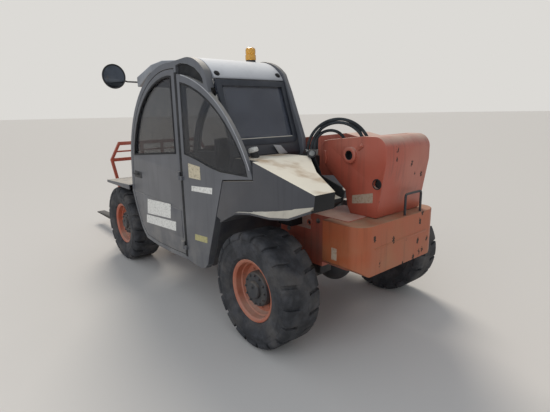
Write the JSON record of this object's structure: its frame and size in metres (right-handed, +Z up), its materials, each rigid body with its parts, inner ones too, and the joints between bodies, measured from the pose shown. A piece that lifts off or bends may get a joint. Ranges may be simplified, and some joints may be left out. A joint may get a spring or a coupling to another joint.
{
  "type": "compact telehandler",
  "caption": "Compact four-wheel telehandler: cab on the left, telescopic boom beside it, lift cylinder, pallet-fork carriage and rear counterweight.",
  "frame": {"origin": "on the ground below the middle of the machine's outline, forks included", "axes": "+X forward, along the forks; +Y to the machine's left, the cab's side; +Z up"},
  "size_m": [4.9876, 1.8, 2.1822],
  "materials": {
    "orange_paint": "sun-faded semi-gloss enamel, chipped",
    "head_paint": "semi-gloss enamel",
    "grey_paint": "dusty satin enamel",
    "tinted_glass": "tinted safety glass, dusty",
    "seat_vinyl": "black vinyl",
    "console_plastic": "moulded black plastic",
    "axle_black": "black chassis paint, dusty",
    "barrel_black": "black enamel",
    "rod_chrome": "hard chrome plate",
    "fork_steel": "black paint worn to steel at the tips",
    "engine_iron": "cast and painted",
    "tyre_rubber": "worn industrial rubber, dusty",
    "beacon_amber": "clear amber lens",
    "mirror_shell": "black plastic with a convex mirror",
    "lamp_plastic": "clear lens in a black housing",
    "hose_rubber": "smooth black rubber"
  },
  "bodies": {
    "chassis": {"main_frame": "orange_paint", "tower": "orange_paint", "counterweight": "orange_paint", "axle_front": "axle_black", "axle_rear": "axle_black", "cab_side_left": "grey_paint", "cab_side_right": "grey_paint", "cab_tub": "grey_paint", "cab_roof": "grey_paint", "cab_glass": "tinted_glass", "seat": "seat_vinyl", "console": "console_plastic", "steering_wheel": "console_plastic", "fender_rear_left": "grey_paint", "fenders_front": "grey_paint", "fender_rear_right": "grey_paint", "engine_bay": "grey_paint", "engine_block": "engine_iron", "beacon": "beacon_amber", "mirror": "mirror_shell", "lamps": "lamp_plastic", "hoses": "hose_rubber"},
    "door": {"door_panel": "grey_paint", "door_glass": "tinted_glass"},
    "hood": {"engine_hood": "grey_paint"},
    "boom": {"boom_outer": "orange_paint"},
    "boom_head": {"boom_inner": "head_paint"},
    "carriage": {"carriage": "orange_paint", "forks": "fork_steel"},
    "lift_barrel": {"lift_barrel": "barrel_black"},
    "lift_rod": {"lift_rod": "rod_chrome"},
    "tilt_barrel": {"tilt_barrel": "barrel_black"},
    "tilt_rod": {"tilt_rod": "rod_chrome"},
    "steer_front_left": {"knuckle_front_left": "axle_black"},
    "wheel_front_left": {"rim_front_left": "orange_paint", "tyre_front_left": "tyre_rubber"},
    "steer_front_right": {"knuckle_front_right": "axle_black"},
    "wheel_front_right": {"rim_front_right": "orange_paint", "tyre_front_right": "tyre_rubber"},
    "steer_rear_left": {"knuckle_rear_left": "axle_black"},
    "wheel_rear_left": {"rim_rear_left": "orange_paint", "tyre_rear_left": "tyre_rubber"},
    "steer_rear_right": {"knuckle_rear_right": "axle_black"},
    "wheel_rear_right": {"rim_rear_right": "orange_paint", "tyre_rear_right": "tyre_rubber"}
  },
  "joints": [
    {"name": "boom_lift", "type": "hinge", "parent": "chassis", "child": "boom", "pos_m": [-2.152, -0.12, 1.334], "axis": [0, -1, 0], "range_deg": [0, 62]},
    {"name": "boom_extend", "type": "slide", "parent": "boom", "child": "boom_head", "axis": [0.9945, 0, -0.1045], "range_m": [0, 1.45]},
    {"name": "carriage_tilt", "type": "hinge", "parent": "boom_head", "child": "carriage", "pos_m": [1.16457, -0.12, 0.362], "axis": [0, 1, 0], "range_deg": [-12, 55]},
    {"name": "lift_barrel_swing", "type": "hinge", "parent": "chassis", "child": "lift_barrel", "pos_m": [-1.933, -0.12, 0.7], "axis": [0, -1, 0], "range_deg": [-1, 52.05]},
    {"name": "lift_rod_slide", "type": "slide", "parent": "lift_barrel", "child": "lift_rod", "axis": [0.9631, 0, 0.2691], "range_m": [-0.005, 0.6532]},
    {"name": "tilt_barrel_swing", "type": "hinge", "parent": "boom_head", "child": "tilt_barrel", "pos_m": [0.84465, -0.12, 1.0492], "axis": [0, 1, 0], "range_deg": [-7, 2.5]},
    {"name": "tilt_rod_slide", "type": "slide", "parent": "tilt_barrel", "child": "tilt_rod", "axis": [0.6443, 0, -0.7648], "range_m": [-0.056, 0.26]},
    {"name": "steer_front_left", "type": "hinge", "parent": "chassis", "child": "steer_front_left", "pos_m": [0.567, 0.64, 0.42], "axis": [0, 0, 1], "range_deg": [-25, 25]},
    {"name": "steer_front_right", "type": "hinge", "parent": "chassis", "child": "steer_front_right", "pos_m": [0.567, -0.64, 0.42], "axis": [0, 0, 1], "range_deg": [-25, 25]},
    {"name": "steer_rear_left", "type": "hinge", "parent": "chassis", "child": "steer_rear_left", "pos_m": [-1.883, 0.64, 0.42], "axis": [0, 0, 1], "range_deg": [-25, 25]},
    {"name": "steer_rear_right", "type": "hinge", "parent": "chassis", "child": "steer_rear_right", "pos_m": [-1.883, -0.64, 0.42], "axis": [0, 0, 1], "range_deg": [-25, 25]},
    {"name": "roll_front_left", "type": "hinge", "parent": "steer_front_left", "child": "wheel_front_left", "pos_m": [0.567, 0.745, 0.42], "axis": [0, 1, 0], "continuous": true},
    {"name": "roll_front_right", "type": "hinge", "parent": "steer_front_right", "child": "wheel_front_right", "pos_m": [0.567, -0.745, 0.42], "axis": [0, 1, 0], "continuous": true},
    {"name": "roll_rear_left", "type": "hinge", "parent": "steer_rear_left", "child": "wheel_rear_left", "pos_m": [-1.883, 0.745, 0.42], "axis": [0, 1, 0], "continuous": true},
    {"name": "roll_rear_right", "type": "hinge", "parent": "steer_rear_right", "child": "wheel_rear_right", "pos_m": [-1.883, -0.745, 0.42], "axis": [0, 1, 0], "continuous": true},
    {"name": "door_swing", "type": "hinge", "parent": "chassis", "child": "door", "pos_m": [-0.915, 0.874, 1.2], "axis": [0, 0, 1], "range_deg": [0, 90]},
    {"name": "hood_lift", "type": "hinge", "parent": "chassis", "child": "hood", "pos_m": [-0.683, -0.3653, 1.09], "axis": [-1, 0, 0], "range_deg": [0, 65]}
  ],
  "couplings": [
    {"joint": "lift_barrel_swing", "follows": "boom_lift", "ratio": 0.8233},
    {"joint": "lift_rod_slide", "follows": "boom_lift", "m_per_rad": 0.5944},
    {"joint": "tilt_barrel_swing", "follows": "carriage_tilt", "ratio": -0.08},
    {"joint": "tilt_rod_slide", "follows": "carriage_tilt", "m_per_rad": 0.2481},
    {"joint": "steer_front_right", "follows": "steer_front_left", "ratio": 1},
    {"joint": "steer_rear_right", "follows": "steer_rear_left", "ratio": 1}
  ]
}
